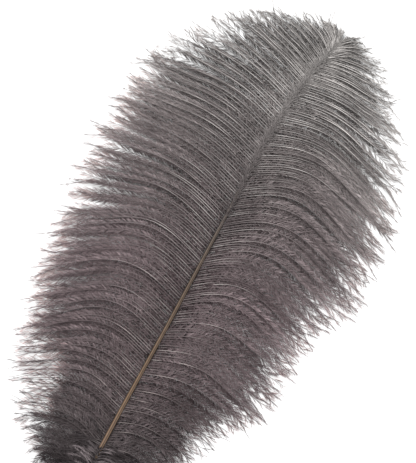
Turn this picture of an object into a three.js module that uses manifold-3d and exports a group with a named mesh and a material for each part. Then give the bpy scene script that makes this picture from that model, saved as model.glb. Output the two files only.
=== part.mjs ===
// Ostrich plume, lying on a table with the ridge of its shaft upwards.
// Millimetres, +Z up, +Y along the shaft from the quill's end to the tip, z = 0 the table.
// A feather grows in one piece, so it is one solid: a tapering shaft, bare at the quill, with
// the soft barbs of each side gathered into overlapping locks that are fused to it.
import * as THREE from "three";
import { mergeVertices } from "three/addons/utils/BufferGeometryUtils.js";
import Module from "manifold-3d";

const wasm = await Module();
wasm.setup();

// ---------------------------------------------------------------- driving dimensions
const SHAFT_LENGTH = 317; // quill end to the last barbs' roots, along Y
const VANE_START = 36; // bare quill below this
const LOCKS_PER_SIDE = 25;
const BOX_MIDDLE = { x: -4.93, y: 163.5 }; // middle of the feather seen from above: the origin

// The shaft's middle line: it bows to the left, lifts off the table and comes down at the tip.
const SHAFT_LINE = new THREE.CatmullRomCurve3(
  [
    [2.6, 0, 1.75],
    [0.9, 36, 4.6],
    [-1.2, 85, 8.2],
    [-2.8, 140, 10.2],
    [-5.2, 200, 10.2],
    [-7.5, 255, 8.0],
    [-5.2, 290, 5.2],
    [0, SHAFT_LENGTH, 3.0],
  ].map((p) => new THREE.Vector3(...p)),
);

// The shaft's radius by distance along Y: a nib, the round quill, then a long taper.
const SHAFT_RADIUS = [
  { y: 0, radius: 0.7 },
  { y: 3, radius: 1.4 },
  { y: 12, radius: 1.75 },
  { y: 36, radius: 1.7 },
  { y: 70, radius: 1.3 },
  { y: 125, radius: 1.1 },
  { y: 190, radius: 0.7 },
  { y: 270, radius: 0.4 },
  { y: SHAFT_LENGTH, radius: 0.3 },
];

// The barbs of each side by the place of their root along Y: their length, and the direction in
// degrees away from +Y in which they leave the shaft and in which they end. They turn from the
// one to the other between two shares of their length.
const SIDES = {
  left: {
    way: -1,
    turns: { from: 0.1, to: 0.65 },
    stations: [
      { y: 36, length: 27, leaves: 64, ends: 126 },
      { y: 60, length: 51, leaves: 68, ends: 112 },
      { y: 75, length: 55, leaves: 74, ends: 114 },
      { y: 90, length: 68, leaves: 75, ends: 124 },
      { y: 120, length: 74, leaves: 75, ends: 130 },
      { y: 150, length: 85, leaves: 75, ends: 128 },
      { y: 180, length: 86, leaves: 75, ends: 121 },
      { y: 200, length: 84, leaves: 74, ends: 103 },
      { y: 216, length: 82, leaves: 75, ends: 94 },
      { y: 240, length: 84, leaves: 75, ends: 98 },
      { y: 256, length: 79, leaves: 75, ends: 97 },
      { y: 270, length: 70, leaves: 75, ends: 90 },
      { y: 284, length: 56, leaves: 74, ends: 78 },
      { y: 296, length: 48, leaves: 71, ends: 77 },
      { y: 306, length: 36, leaves: 66, ends: 74 },
      { y: 312, length: 26, leaves: 56, ends: 70 },
      { y: 317, length: 12, leaves: 24, ends: 40 },
    ],
  },
  right: {
    way: 1,
    turns: { from: 0.05, to: 0.6 },
    stations: [
      { y: 36, length: 28, leaves: 64, ends: 134 },
      { y: 60, length: 44, leaves: 56, ends: 112 },
      { y: 75, length: 50, leaves: 62, ends: 106 },
      { y: 90, length: 51, leaves: 70, ends: 98 },
      { y: 105, length: 60, leaves: 68, ends: 98 },
      { y: 120, length: 73, leaves: 64, ends: 103 },
      { y: 150, length: 76, leaves: 50, ends: 103 },
      { y: 180, length: 87, leaves: 50, ends: 104 },
      { y: 200, length: 95, leaves: 50, ends: 104 },
      { y: 225, length: 90, leaves: 54, ends: 106 },
      { y: 240, length: 88, leaves: 60, ends: 107 },
      { y: 256, length: 85, leaves: 68, ends: 107 },
      { y: 270, length: 75, leaves: 74, ends: 104 },
      { y: 285, length: 62, leaves: 77, ends: 97 },
      { y: 295, length: 50, leaves: 77, ends: 92 },
      { y: 305, length: 37, leaves: 74, ends: 88 },
      { y: 312, length: 27, leaves: 62, ends: 80 },
      { y: 317, length: 11, leaves: 22, ends: 40 },
    ],
  },
};

// A lock, from its root (along = 0) to its tip (along = 1).
const ROOT_OVERLAP = 1.14; // width at the root, in spacings between locks
const GAP_FROM = 0.6; // beyond this share of its length a lock narrows away from its neighbours
const TIP_WIDTH = 0.08; // width at the tip, in the same measure
const ROOT_LIFT = 0.3; // a lock's ridge starts this far above the shaft's middle
const ROOT_INSIDE = 0.8; // and this far past the middle, so that both sides join the shaft
const ARCH = 2.6; // on the highest stretch of the shaft it then rises this much more
const LANDS_AT = 0.74; // share of the length where the ridge has come down
const RIDGE_LANDED = 2.8; // height of the ridge there
const RIDGE_TIP = 1.1; // and at the very tip
const THINNEST = 0.5; // a lock's edge stays this thick
const ROOT_DEPTH = 1.4; // depth of a lock under its ridge where it leaves the shaft
const LOCK_DEPTH = 4.2; // full depth
const DEEP_FROM = 0.25; // share of the length where it has its full depth
const TIP_DEPTH = 3.0; // depth at the tip, which reaches the table
const CROWN = 0.35; // share of that depth by which the ridge stands above the lock's edges
const LAYER_STEP = 0.9; // every other lock lies this much lower, as shingles do
const UNEVEN_LENGTH = 0.05; // locks are up to this share longer or shorter than the stations say
const UNEVEN_TURN = 2.5; // and turned by up to this many degrees
const TIP_LOCK = { from: 300, to: 327, halfWidth: 8, ridge: 4.2 }; // the tuft at the shaft's end

// Facets.
const LOCK_ROWS = 7;
const BARB_STEPS = 12;
const SHAFT_SIDES = 8;
const SHAFT_ROWS = 24;
const SHAFT_CROWDING = 1.15; // over 1 puts more of the shaft's rows towards the quill

// ---------------------------------------------------------------- helpers
const { degToRad, lerp, clamp, smoothstep } = THREE.MathUtils;
const HIGHEST_SHAFT = Math.max(...SHAFT_LINE.points.map((p) => p.z));
const MERGE_WITHIN = 1e-3;

// A column of a table of rows at this y, straight between the rows.
function lookUp(rows, y, column) {
  const next = rows.findIndex((row) => row.y > y);
  if (next < 0) {
    return rows.at(-1)[column];
  }
  if (next === 0) {
    return rows[0][column];
  }
  const [before, after] = [rows[next - 1], rows[next]];
  return lerp(before[column], after[column], (y - before.y) / (after.y - before.y));
}

// The shaft's middle line at this distance along Y, which only grows along it.
const SHAFT_POINTS = SHAFT_LINE.getPoints(400);
function shaftAt(y) {
  return new THREE.Vector3(lookUp(SHAFT_POINTS, y, "x"), y, lookUp(SHAFT_POINTS, y, "z"));
}

// Between -1 and 1, and unlike its neighbours: how one lock differs from the next.
function unevenness(side, index) {
  return Math.sin(2.4 * index + 1.7 * side.way);
}

// Where a barb rooted at rootY is, in plan, at this share of its length.
function barbInPlan(side, rootY, along, uneven) {
  const length = lookUp(side.stations, rootY, "length") * (1 + UNEVEN_LENGTH * uneven);
  const leaves = lookUp(side.stations, rootY, "leaves");
  const ends = lookUp(side.stations, rootY, "ends") + UNEVEN_TURN * uneven;
  const root = shaftAt(rootY);
  const at = new THREE.Vector2(root.x - side.way * ROOT_INSIDE * (1 - along), root.y);
  for (let i = 0; i < BARB_STEPS; i += 1) {
    const share = (along * (i + 0.5)) / BARB_STEPS;
    const turned = smoothstep(share, side.turns.from, side.turns.to);
    const heading = degToRad(lerp(leaves, ends, turned));
    const step = (length * along) / BARB_STEPS;
    at.x += side.way * step * Math.sin(heading);
    at.y += step * Math.cos(heading);
  }
  return at;
}

// Half a lock's width at this share of its length, as a distance along the shaft.
function halfSpread(along, spacing) {
  const narrowing = smoothstep(along, GAP_FROM, 1);
  return (spacing / 2) * lerp(ROOT_OVERLAP, TIP_WIDTH, narrowing);
}

// Height of a lock's ridge above the table.
function ridgeHeight(rootY, along, lowered) {
  const start = shaftAt(rootY).z + ROOT_LIFT;
  const landed = lerp(start, RIDGE_LANDED, smoothstep(along, 0, LANDS_AT));
  const arch = ARCH * (start / HIGHEST_SHAFT) * Math.sin(Math.PI * clamp(along / LANDS_AT, 0, 1));
  const fall = (RIDGE_LANDED - RIDGE_TIP) * smoothstep(along, LANDS_AT, 1);
  return landed + arch - fall - lowered * (1 - along);
}

// How deep a lock is under its ridge.
function lockDepth(along) {
  const grown = lerp(ROOT_DEPTH, LOCK_DEPTH, smoothstep(along, 0, DEEP_FROM));
  return lerp(grown, TIP_DEPTH, smoothstep(along, DEEP_FROM, 1));
}

function toSolid(geometry) {
  geometry.deleteAttribute("normal");
  geometry.deleteAttribute("uv");
  const merged = mergeVertices(geometry, MERGE_WITHIN);
  return new wasm.Manifold(
    new wasm.Mesh({
      numProp: 3,
      vertProperties: merged.attributes.position.array,
      triVerts: new Uint32Array(merged.index.array),
    }),
  );
}

function toGeometry(solid) {
  const mesh = solid.getMesh();
  return new THREE.BufferGeometry()
    .setAttribute("position", new THREE.BufferAttribute(mesh.vertProperties, 3))
    .setIndex(new THREE.BufferAttribute(mesh.triVerts, 1));
}

// Moves every vertex of a geometry to the place that shape(x, y, z) gives.
function bent(geometry, shape) {
  const places = geometry.attributes.position;
  for (let i = 0; i < places.count; i += 1) {
    places.setXYZ(i, ...shape(places.getX(i), places.getY(i), places.getZ(i)).toArray());
  }
  return geometry;
}

// ---------------------------------------------------------------- the shaft
function makeShaft() {
  const straight = new THREE.CylinderGeometry(1, 1, 1, SHAFT_SIDES, SHAFT_ROWS);
  return bent(straight, (x, y, z) => {
    const along = clamp(y + 0.5, 0, 1) ** SHAFT_CROWDING;
    const middle = shaftAt(along * SHAFT_LENGTH);
    const radius = lookUp(SHAFT_RADIUS, middle.y, "radius");
    return new THREE.Vector3(middle.x + x * radius, middle.y, Math.max(middle.z + z * radius, 0));
  });
}

// ---------------------------------------------------------------- one lock of barbs
// A block, two facets wide, is bent along the barbs: its top is crowned and its bottom flat.
function makeLock(side, index, spacing) {
  const middleY = VANE_START + (index + 0.5) * spacing;
  const lowered = index % 2 ? LAYER_STEP : 0;
  const uneven = unevenness(side, index);
  const block = new THREE.BoxGeometry(2, 1, 1, 2, LOCK_ROWS, 1);
  return bent(block, (across, lengthwise, upDown) => {
    const along = clamp(lengthwise + 0.5, 0, 1);
    const offset = across * halfSpread(along, spacing) * -side.way;
    const plan = barbInPlan(side, clamp(middleY + offset, VANE_START, SHAFT_LENGTH), along, uneven);
    const ridge = ridgeHeight(middleY, along, lowered);
    const depth = lockDepth(along);
    const top = Math.max(ridge - CROWN * depth * Math.abs(across), THINNEST);
    const bottom = Math.max(ridge - depth, 0);
    return new THREE.Vector3(plan.x, plan.y, upDown > 0 ? top : bottom);
  });
}

// The last tuft goes straight on from the shaft's end.
function makeTipLock() {
  const block = new THREE.BoxGeometry(2, 1, 1, 2, LOCK_ROWS, 1);
  return bent(block, (across, lengthwise, upDown) => {
    const along = clamp(lengthwise + 0.5, 0, 1);
    const y = lerp(TIP_LOCK.from, TIP_LOCK.to, along);
    const width = TIP_LOCK.halfWidth * Math.sin(Math.PI * lerp(0.12, 0.95, along));
    const ridge = lerp(TIP_LOCK.ridge, RIDGE_TIP, along);
    const top = Math.max(ridge * (1 - CROWN * Math.abs(across)), THINNEST);
    return new THREE.Vector3(shaftAt(y).x + across * width, y, upDown > 0 ? top : 0);
  });
}

// ---------------------------------------------------------------- the whole feather
function makeFeather() {
  let feather = toSolid(makeShaft()).add(toSolid(makeTipLock()));
  const spacing = (SHAFT_LENGTH - VANE_START) / LOCKS_PER_SIDE;
  for (const side of Object.values(SIDES)) {
    for (let i = 0; i < LOCKS_PER_SIDE; i += 1) {
      feather = feather.add(toSolid(makeLock(side, i, spacing)));
    }
  }
  return toGeometry(feather).translate(-BOX_MIDDLE.x, -BOX_MIDDLE.y, 0);
}

const barbGrey = new THREE.MeshStandardMaterial({ color: 0x6d6465, roughness: 0.85, metalness: 0 });
const feather = new THREE.Mesh(makeFeather(), barbGrey);
feather.name = "feather";

const plume = new THREE.Group();
plume.add(feather);

export default plume;
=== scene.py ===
import math

import bpy
import numpy as np
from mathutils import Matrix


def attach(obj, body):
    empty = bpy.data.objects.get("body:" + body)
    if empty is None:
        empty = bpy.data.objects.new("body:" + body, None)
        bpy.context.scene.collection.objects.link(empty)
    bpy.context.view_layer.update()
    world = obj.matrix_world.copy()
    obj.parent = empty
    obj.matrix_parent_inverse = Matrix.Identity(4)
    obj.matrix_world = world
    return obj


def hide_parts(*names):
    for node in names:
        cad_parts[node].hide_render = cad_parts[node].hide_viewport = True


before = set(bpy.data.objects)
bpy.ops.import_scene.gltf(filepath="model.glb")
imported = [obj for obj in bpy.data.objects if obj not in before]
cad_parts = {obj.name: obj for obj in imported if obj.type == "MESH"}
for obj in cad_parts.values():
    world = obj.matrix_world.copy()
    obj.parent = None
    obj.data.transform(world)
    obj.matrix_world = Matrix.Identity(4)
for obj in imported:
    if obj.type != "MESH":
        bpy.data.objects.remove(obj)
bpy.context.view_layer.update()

MM = 0.001
rng = np.random.default_rng(11)

# -------------------- dimensions shared with the solid
SHAFT_LENGTH = 317.0
VANE_START = 36.0
LOCKS_PER_SIDE = 25
BOX_MIDDLE = np.array([-4.93, 163.5, 0.0])
# The shaft's middle line, and its radius by the distance along Y.
SHAFT_LINE = [
    (2.6, 0, 1.75), (0.9, 36, 4.6), (-1.2, 85, 8.2), (-2.8, 140, 10.2),
    (-5.2, 200, 10.2), (-7.5, 255, 8.0), (-5.2, 290, 5.2), (0, 317, 3.0),
]
SHAFT_RADIUS = [
    (0, 0.7), (3, 1.4), (12, 1.75), (36, 1.7), (70, 1.3),
    (125, 1.1), (190, 0.7), (270, 0.4), (317, 0.3),
]
# Along the shaft: a barb's length, and its headings away from +Y where it leaves and where it ends.
LEFT_STATIONS = np.array([
    (36, 27, 64, 126), (60, 51, 68, 112), (75, 55, 74, 114), (90, 68, 75, 124), (120, 74, 75, 130),
    (150, 85, 75, 128), (180, 86, 75, 121), (200, 84, 74, 103), (216, 82, 75, 94), (240, 84, 75, 98),
    (256, 79, 75, 97), (270, 70, 75, 90), (284, 56, 74, 78), (296, 48, 71, 77), (306, 36, 66, 74),
    (312, 26, 56, 70), (317, 12, 24, 40),
], float)
RIGHT_STATIONS = np.array([
    (36, 28, 64, 134), (60, 44, 56, 112), (75, 50, 62, 106), (90, 51, 70, 98), (105, 60, 68, 98),
    (120, 73, 64, 103), (150, 76, 50, 103), (180, 87, 50, 104), (200, 95, 50, 104), (225, 90, 54, 106),
    (240, 88, 60, 107), (256, 85, 68, 107), (270, 75, 74, 104), (285, 62, 77, 97), (295, 50, 77, 92),
    (305, 37, 74, 88), (312, 27, 62, 80), (317, 11, 22, 40),
], float)
# A lock of barbs, from its root (along = 0) to its tip (along = 1).
ROOT_LIFT = 0.3  # its ridge starts this far above the shaft's middle
ARCH = 2.6  # on the highest stretch of the shaft it then rises this much more
LANDS_AT = 0.74  # share of the length where the ridge has come down
RIDGE_LANDED = 2.8  # height of the ridge there
RIDGE_TIP = 1.1  # and at the very tip
ROOT_DEPTH = 1.4  # depth under the ridge at the root
LOCK_DEPTH = 4.2  # the full depth, reached
DEEP_FROM = 0.25  # at this share of the length
TIP_DEPTH = 3.0
CROWN = 0.35  # its edges lie lower than its ridge by this share of the depth
LAYER_STEP = 0.9  # every second lock starts this much lower
BARB_STEPS = 12  # in the course of a barb

# What differs from side to side; a list runs along the shaft. The first three are the solid's:
# way is the side along X, and a barb turns between the two shares of its length in turns. Then
# grown is its length by that of its lock, bare the share of it that looks bare, thins where its
# barbules begin to thin out, lit how much its stem shows of its own paler colour and of painted
# highlight low on the vane, haze how far the barbules at its end stand off, and pale its tone,
# which varies by uneven from tress to tress and by speckle from clump to clump; on the right vane
# pale also holds painted light, which makes that vane paler than the left. between is the painted
# shade of the dark barbules that hang between two tresses, and under_top that of the under barbs
# high on the vane.
SIDES = {
    "left": {
        "way": -1,
        "turns": (0.1, 0.65),
        "stations": LEFT_STATIONS,
        "grown": [
            (36, 0.8), (50, 0.9), (60, 1.03), (75, 1.01),
            (180, 1.02), (240, 1.01), (275, 1.05), (300, 1.0),
        ],
        "bare": [(36, 0.08), (100, 0.12), (160, 0.2), (230, 0.3), (260, 0.55), (290, 0.9)],
        "thins": [(36, 0.74), (150, 0.78), (190, 0.84), (235, 0.82), (262, 0.6), (280, 0.36)],
        "lit": 0.4,
        "haze": 0.9,
        "pale": [(36, 0.97), (90, 1.03), (130, 1.08), (235, 1.06), (265, 0.98), (317, 0.96)],
        "uneven": 0.07,
        "speckle": 0.14,
        "between": 0.6,
        "under_top": 0.46,
    },
    "right": {
        "way": 1,
        "turns": (0.05, 0.6),
        "stations": RIGHT_STATIONS,
        "grown": [
            (36, 1.2), (60, 1.06), (110, 1.03), (150, 1.0),
            (240, 0.99), (275, 1.06), (300, 1.08), (317, 1.0),
        ],
        "bare": [(36, 0.04), (100, 0.055), (180, 0.1), (225, 0.14), (255, 0.4), (290, 0.8)],
        "thins": [(36, 0.6), (255, 0.6), (280, 0.36)],
        "lit": 0.26,
        "haze": 0.5,
        "pale": [(36, 1.0), (90, 1.05), (150, 1.16), (215, 1.22), (265, 1.38), (317, 1.18)],
        "uneven": 0.1,
        "speckle": 0.17,
        "between": 0.4,
        "under_top": 0.72,
    },
}


def smooth(x, low, high):
    """0 below low, 1 above high, and an even passage between them."""
    t = np.clip((x - low) / (high - low), 0, 1)
    return t * t * (3 - 2 * t)


def mix(a, b, t):
    return a + (b - a) * t


def column(values):
    return np.asarray(values)[:, None]


def table(rows, x):
    """The value at x between rows of a place and a value."""
    rows = np.asarray(rows, float)
    return np.interp(x, rows[:, 0], rows[:, 1])


def unit(v):
    return v / np.maximum(np.linalg.norm(v, axis=-1, keepdims=True), 1e-9)


def tangents(points):
    return unit(np.gradient(points, axis=-2))


def square_to(forward):
    """The directions sideways and up from one that leads ahead."""
    sideways = unit(np.cross(forward, [0, 0, 1.0]))
    return sideways, np.cross(sideways, forward)


def lengths_of(points):
    return np.linalg.norm(np.diff(points, axis=1), axis=2).sum(1)


def smooth_line(points, per_span=40):
    """Catmull-Rom curve through the points."""
    p = np.array(points, float)
    p = np.vstack([2 * p[0] - p[1], p, 2 * p[-1] - p[-2]])
    t = np.linspace(0, 1, per_span, endpoint=False)[:, None]
    spans = []
    for a, b, c, d in zip(p, p[1:], p[2:], p[3:]):
        square = 2 * a - 5 * b + 4 * c - d
        cube = 3 * b - a - 3 * c + d
        spans.append(0.5 * (2 * b + (c - a) * t + square * t**2 + cube * t**3))
    return np.vstack([*spans, p[-2:-1]])


MIDDLE_LINE = smooth_line(SHAFT_LINE)


def shaft_at(y):
    """Middle of the shaft at y, as x and z."""
    x = np.interp(y, MIDDLE_LINE[:, 1], MIDDLE_LINE[:, 0])
    z = np.interp(y, MIDDLE_LINE[:, 1], MIDDLE_LINE[:, 2])
    return x, z


# -------------------- the course of the barbs
# A pair that ends in _Y is the stretch of the shaft over which something sets in.
BARB_PITCH = 1.45
CROWDED_PITCH = 0.85  # barbs stand closer together at the tip,
CROWDED_FROM = 288.0  # from here on
ROOT_SHIFT = 0.2  # a root is off its even place by up to this share of the pitch
LAST_ROOT = SHAFT_LENGTH - 0.3
BARB_POINTS = 25
LONGEST_BARB = 102.0
UPPER_VANE_Y = (200, 250)  # the steadier upper part of the vane
UNDER_EVERY = 3  # every third barb lies loose and level below the others,
UNDER_DROP = 1.7  # by this
STRAY_SHARE = 0.12  # of the barbs, which leave their tress
# The spread of a barb's length, as a share, and of its end's heading: by lock, tress and barb.
LENGTH_SPREAD = (0.015, 0.02, 0.035)
HEADING_SPREAD = (0.4, 0.4, 0.5)
STRAY_HEADING = 4.5
STEADIER = 0.4  # share of the spread of headings that is lost on the upper vane
BARE_RANGE = (0.6, 1.4)
BARE_LEAST = 0.03
SHORTER = 0.02  # barbs at a tress's edges and under barbs are shorter by this, strays are longer
# Barbs hang together in tresses of two to four. Each is drawn to the middle of its tress by a
# share of the way, which is less on the upper vane, again at its tip, and to that of its lock.
TRESS_SIZES = (2, 5)
TRESS_PULL = (0.15, 0.4)
LESS_PULL = 0.75
TIP_PULL = (0.0, 0.15)
LOCK_PULL = 0.03
LOCK_PULL_RANGE = (0.5, 1.3)
FREE_MOST = 0.3  # a tress closes beyond the part that looks bare, counted up to this share,
CLOSES_FROM = 0.6  # from this much of that part on
CLOSES_OVER = 0.3  # and over this share of the barb,
OPENS_BY = 0.9  # and it opens again by this much
OPENS_OVER = (0.5, 0.85)  # between these shares
TIP_PULLED = (0.7, 1)
LOCK_PULLED = (0.72, 1)
WAVE_HEIGHT = 0.5  # barbs wave by up to this at their ends,
WAVES = (0.8, 2.2)  # this many times
TIP_STRAYS = 2.4  # the barbs' tips lie this much off their course,
TIPS_STRAY = (0.8, 1)  # which begins at these shares of their length
TRESS_CROWN = 0.4  # a tress is higher in its middle by this,
TRESS_SHINGLE = 0.8  # and each barb lies over its neighbour nearer the tip, the first by this
HEAPED = (0.1, 0.4)  # the tress reaches that height between these shares of its length
TRESS_RISE = 0.4  # spread of the height from tress to tress,
BARB_RISE = 0.1  # and from barb to barb,
RISES_OVER = 1.1  # as half a wave, which ends a little before a barb's tip
DROPPED = (0.12, 0.4)  # under barbs have dropped between these shares of their length
LYING = (0.3, 0.8)  # barbs lie at least this high, and up to that much more

# The tone of the barbs.
BARB_TONE_SPREAD = 0.05
# Painted light and shade across a tress: lighter on its first, higher edge, darker on its last.
TRESS_PAINTED_LIGHT = (1.2, 0.45)  # at the first edge of a tress, and how much less at its last
# Painted shade on the under barbs, which lie below the others.
UNDER_PAINTED_SHADE = 0.68
UNDER_TOP_Y = (235, 270)
# How much of its own paler colour and of painted highlight a stem shows: high on the vane; more on the
# first barb of a tress, the ridge that catches the light; and its spread.
STEMS_LIT = [(235, 0.38), (262, 0.4), (285, 0.7)]
LIT_FROM = 190
FIRST_LIT = 0.3
TRESS_LIT, BARB_LIT = 0.3, 0.15
LIT_LIMITS = (0.05, 1.2)


class Tresses:
    """Groups of neighbouring barbs that hang together, and each barb's place in its own."""

    def __init__(self, root_y):
        count = len(root_y)
        sizes = rng.integers(*TRESS_SIZES, count)
        self.of_barb = np.repeat(np.arange(count), sizes)[:count]
        self.sizes = np.bincount(self.of_barb)
        self.y = (np.bincount(self.of_barb, root_y) / self.sizes)[self.of_barb]
        self.rank = np.arange(count) - (np.cumsum(self.sizes) - self.sizes)[self.of_barb]
        self.across = (self.rank + 0.5) / self.sizes[self.of_barb]

    def normal(self, spread):
        """One random value for each tress, given to all its barbs."""
        return rng.normal(0, spread, len(self.sizes))[self.of_barb]

    def uniform(self, low, high):
        return rng.uniform(low, high, len(self.sizes))[self.of_barb]


def in_plan(side, root_y, along, stretch, turn):
    """x and y of the barbs rooted at root_y, at the share along of their length."""
    rows = side["stations"]
    y = np.clip(root_y, VANE_START, SHAFT_LENGTH)
    length = np.minimum(np.interp(y, rows[:, 0], rows[:, 1]) * stretch, LONGEST_BARB)
    leaves = np.interp(y, rows[:, 0], rows[:, 2])
    ends = np.interp(y, rows[:, 0], rows[:, 3]) + turn
    x = shaft_at(y)[0] + side["way"] * 0.5 * table(SHAFT_RADIUS, y)
    for i in range(BARB_STEPS):
        share = along * (i + 0.5) / BARB_STEPS
        heading = np.radians(mix(leaves, ends, smooth(share, *side["turns"])))
        x = x + side["way"] * length * along / BARB_STEPS * np.sin(heading)
        y = y + length * along / BARB_STEPS * np.cos(heading)
    return x, y


def ridge_height(lock_y, along, lowered):
    """Height of a lock's ridge at the share along of its length."""
    start = shaft_at(lock_y)[1] + ROOT_LIFT
    highest = max(p[2] for p in SHAFT_LINE)
    landed = mix(start, RIDGE_LANDED, smooth(along, 0, LANDS_AT))
    arch = ARCH * start / highest * np.sin(math.pi * np.clip(along / LANDS_AT, 0, 1))
    fall = (RIDGE_LANDED - RIDGE_TIP) * smooth(along, LANDS_AT, 1)
    return landed + arch - fall - lowered * (1 - along)


def lock_depth(along):
    grown = mix(ROOT_DEPTH, LOCK_DEPTH, smooth(along, 0, DEEP_FROM))
    return mix(grown, TIP_DEPTH, smooth(along, DEEP_FROM, 1))


def barb_roots():
    """Where along the shaft the barbs grow."""
    roots = []
    y = VANE_START
    while y < SHAFT_LENGTH:
        roots.append(y + rng.uniform(-ROOT_SHIFT, ROOT_SHIFT) * BARB_PITCH)
        y += BARB_PITCH if y < CROWDED_FROM else CROWDED_PITCH
    return np.clip(roots, VANE_START, LAST_ROOT)


def make_barbs(side):
    """The barbs of one side: their points, and what varies from one to the next."""
    root_y = barb_roots()
    count = len(root_y)
    along = np.linspace(0, 1, BARB_POINTS)[None, :]
    upper = smooth(root_y, *UPPER_VANE_Y)
    spacing = (SHAFT_LENGTH - VANE_START) / LOCKS_PER_SIDE
    lock = np.clip(((root_y - VANE_START) / spacing).astype(int), 0, LOCKS_PER_SIDE - 1)
    lock_y = VANE_START + (lock + 0.5) * spacing
    off_lock = (root_y - lock_y) / (spacing / 2)
    tresses = Tresses(root_y)
    across = tresses.across
    under = np.arange(count) % UNDER_EVERY == 0
    stray = rng.random(count) < STRAY_SHARE
    uneven = np.sin(2.4 * lock + 1.7 * side["way"])  # from lock to lock, without a pattern
    bare = np.maximum(table(side["bare"], root_y) * rng.uniform(*BARE_RANGE, count), BARE_LEAST)

    by_lock, by_tress, by_barb = LENGTH_SPREAD
    stretch = table(side["grown"], root_y) + by_lock * uneven + tresses.normal(by_tress)
    stretch = stretch + rng.normal(0, by_barb, count) * ~under
    stretch = stretch - SHORTER * (2 * across - 1) ** 2 - SHORTER * under + SHORTER * stray
    by_lock, by_tress, by_barb = HEADING_SPREAD
    turn = by_lock * uneven + tresses.normal(by_tress) + rng.normal(0, by_barb, count)
    turn = turn * ~under + rng.normal(0, STRAY_HEADING, count) * stray
    turn = turn * (1 - STEADIER * upper)

    tress_pull = tresses.uniform(*TRESS_PULL) * ~under * ~stray
    tress_pull = tress_pull * (1 - LESS_PULL * upper)
    tip_pull = tresses.uniform(*TIP_PULL) * ~stray * ~under
    lock_pull = LOCK_PULL * rng.uniform(*LOCK_PULL_RANGE, LOCKS_PER_SIDE)[lock] * ~stray * ~under
    rise = tresses.normal(TRESS_RISE) + rng.normal(0, BARB_RISE, count)

    closes = CLOSES_FROM * column(np.minimum(bare, FREE_MOST))
    held = smooth(along, closes, closes + CLOSES_OVER)
    held = held * (1 - OPENS_BY * smooth(along, *OPENS_OVER))
    drawn_y = column(root_y)
    drawn_y = drawn_y + column((tresses.y - root_y) * tress_pull) * held
    drawn_y = drawn_y + column((tresses.y - root_y) * tip_pull) * smooth(along, *TIP_PULLED)
    drawn_y = drawn_y + column((lock_y - root_y) * lock_pull) * smooth(along, *LOCK_PULLED)
    x, y = in_plan(side, drawn_y, along + 0 * drawn_y, column(stretch), column(turn))
    phase = column(rng.random(count))
    waves = column(rng.uniform(*WAVES, count))
    y = y + WAVE_HEIGHT * along * np.sin(2 * math.pi * (along * waves + phase))
    y = y + column(rng.normal(0, TIP_STRAYS, count)) * smooth(along, *TIPS_STRAY) ** 2

    z = ridge_height(column(lock_y), along, column(LAYER_STEP * (lock % 2)))
    z = z - CROWN * lock_depth(along) * np.abs(column(off_lock))
    heap = TRESS_CROWN * (1 - (2 * across - 1) ** 2) + TRESS_SHINGLE * (1 - across)
    z = z + column(heap) * smooth(along, *HEAPED)
    z = z + column(rise) * np.sin(math.pi * np.clip(along * RISES_OVER, 0, 1))
    z = z - column(UNDER_DROP * under) * smooth(along, *DROPPED)
    z = np.maximum(z, LYING[0] + column(LYING[1] * rng.random(count)))

    tone = (1 + tresses.normal(side["uneven"])) * (1 + rng.normal(0, BARB_TONE_SPREAD, count))
    # On the right vane this tone also holds painted light, which makes that vane paler than the left.
    tone = tone * table(side["pale"], root_y)
    # Painted shade on the under barbs, which lie below the others.
    under_barb_painted_shade = mix(UNDER_PAINTED_SHADE, side["under_top"], smooth(root_y, *UNDER_TOP_Y))
    # Painted light and shade across each tress: lighter on its first edge.
    tone = tone * np.where(under, under_barb_painted_shade, TRESS_PAINTED_LIGHT[0] - TRESS_PAINTED_LIGHT[1] * across)
    # Painted highlight on the stems, over their own paler colour, strongest on the first barb, the
    # ridge of its tress.
    lit = table([(LIT_FROM, side["lit"]), *STEMS_LIT], root_y) + FIRST_LIT * (1 - across) ** 3
    lit = lit * (1 + tresses.normal(TRESS_LIT)) + rng.normal(0, BARB_LIT, count)
    return {
        "points": np.stack([x, y, z], -1),
        "root_y": root_y,
        "under": under,
        "tone": tone,
        "lit": np.clip(lit, *LIT_LIMITS),
        "bare": bare,
        "thins": table(side["thins"], root_y),
        "haze": np.full(count, side["haze"]),
        "spread": np.ones(count),
        "first": tresses.rank == 0,
        "speckle": side["speckle"],
        "between": side["between"],
        "way": side["way"],
    }


def pick(barbs, chosen):
    """The same values for the chosen barbs only."""
    return {key: value[chosen] if np.ndim(value) else value for key, value in barbs.items()}


# -------------------- the down at the foot of the vane
DOWN_PLUMES = 110
DOWN_CURLS = 34  # of these, which curl over the foot of the shaft; the others lie beside it
# Ranges for the curls and for the others, whose last heading is counted from their first.
DOWN_RANGES = {
    "root_y": ((47, 61), (30, 66)),
    "length": ((11, 24), (14, 36)),
    "leaves": ((5, 70), (35, 100)),
    "ends": ((100, 170), (60, 130)),
    "top": ((1.4, 3.2), (0.2, 2.4)),
    "tone": ((0.8, 3.2), (0.5, 1.1)),
}
CURLS_ACROSS = (-1.2, 1)  # curls grow between these shares of the shaft's radius,
BESIDE_SHAFT = 0.6  # the others at this one
DOWN_LIFTS = (1.8, 0.6)  # above the shaft's middle
DOWN_LIES_AT = 1.6
DOWN_FALLS_FROM = 0.1  # it comes down to that height from this share of its length on
DOWN_BENDS = 0.8  # 1 would turn it evenly, and less turns it sooner
DOWN_SHADE_AT = 45.0  # all of it has the colours of this place on the shaft
DOWN_UNDER = 0.3
LOOSE_SPECKLE = 0.14


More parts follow.
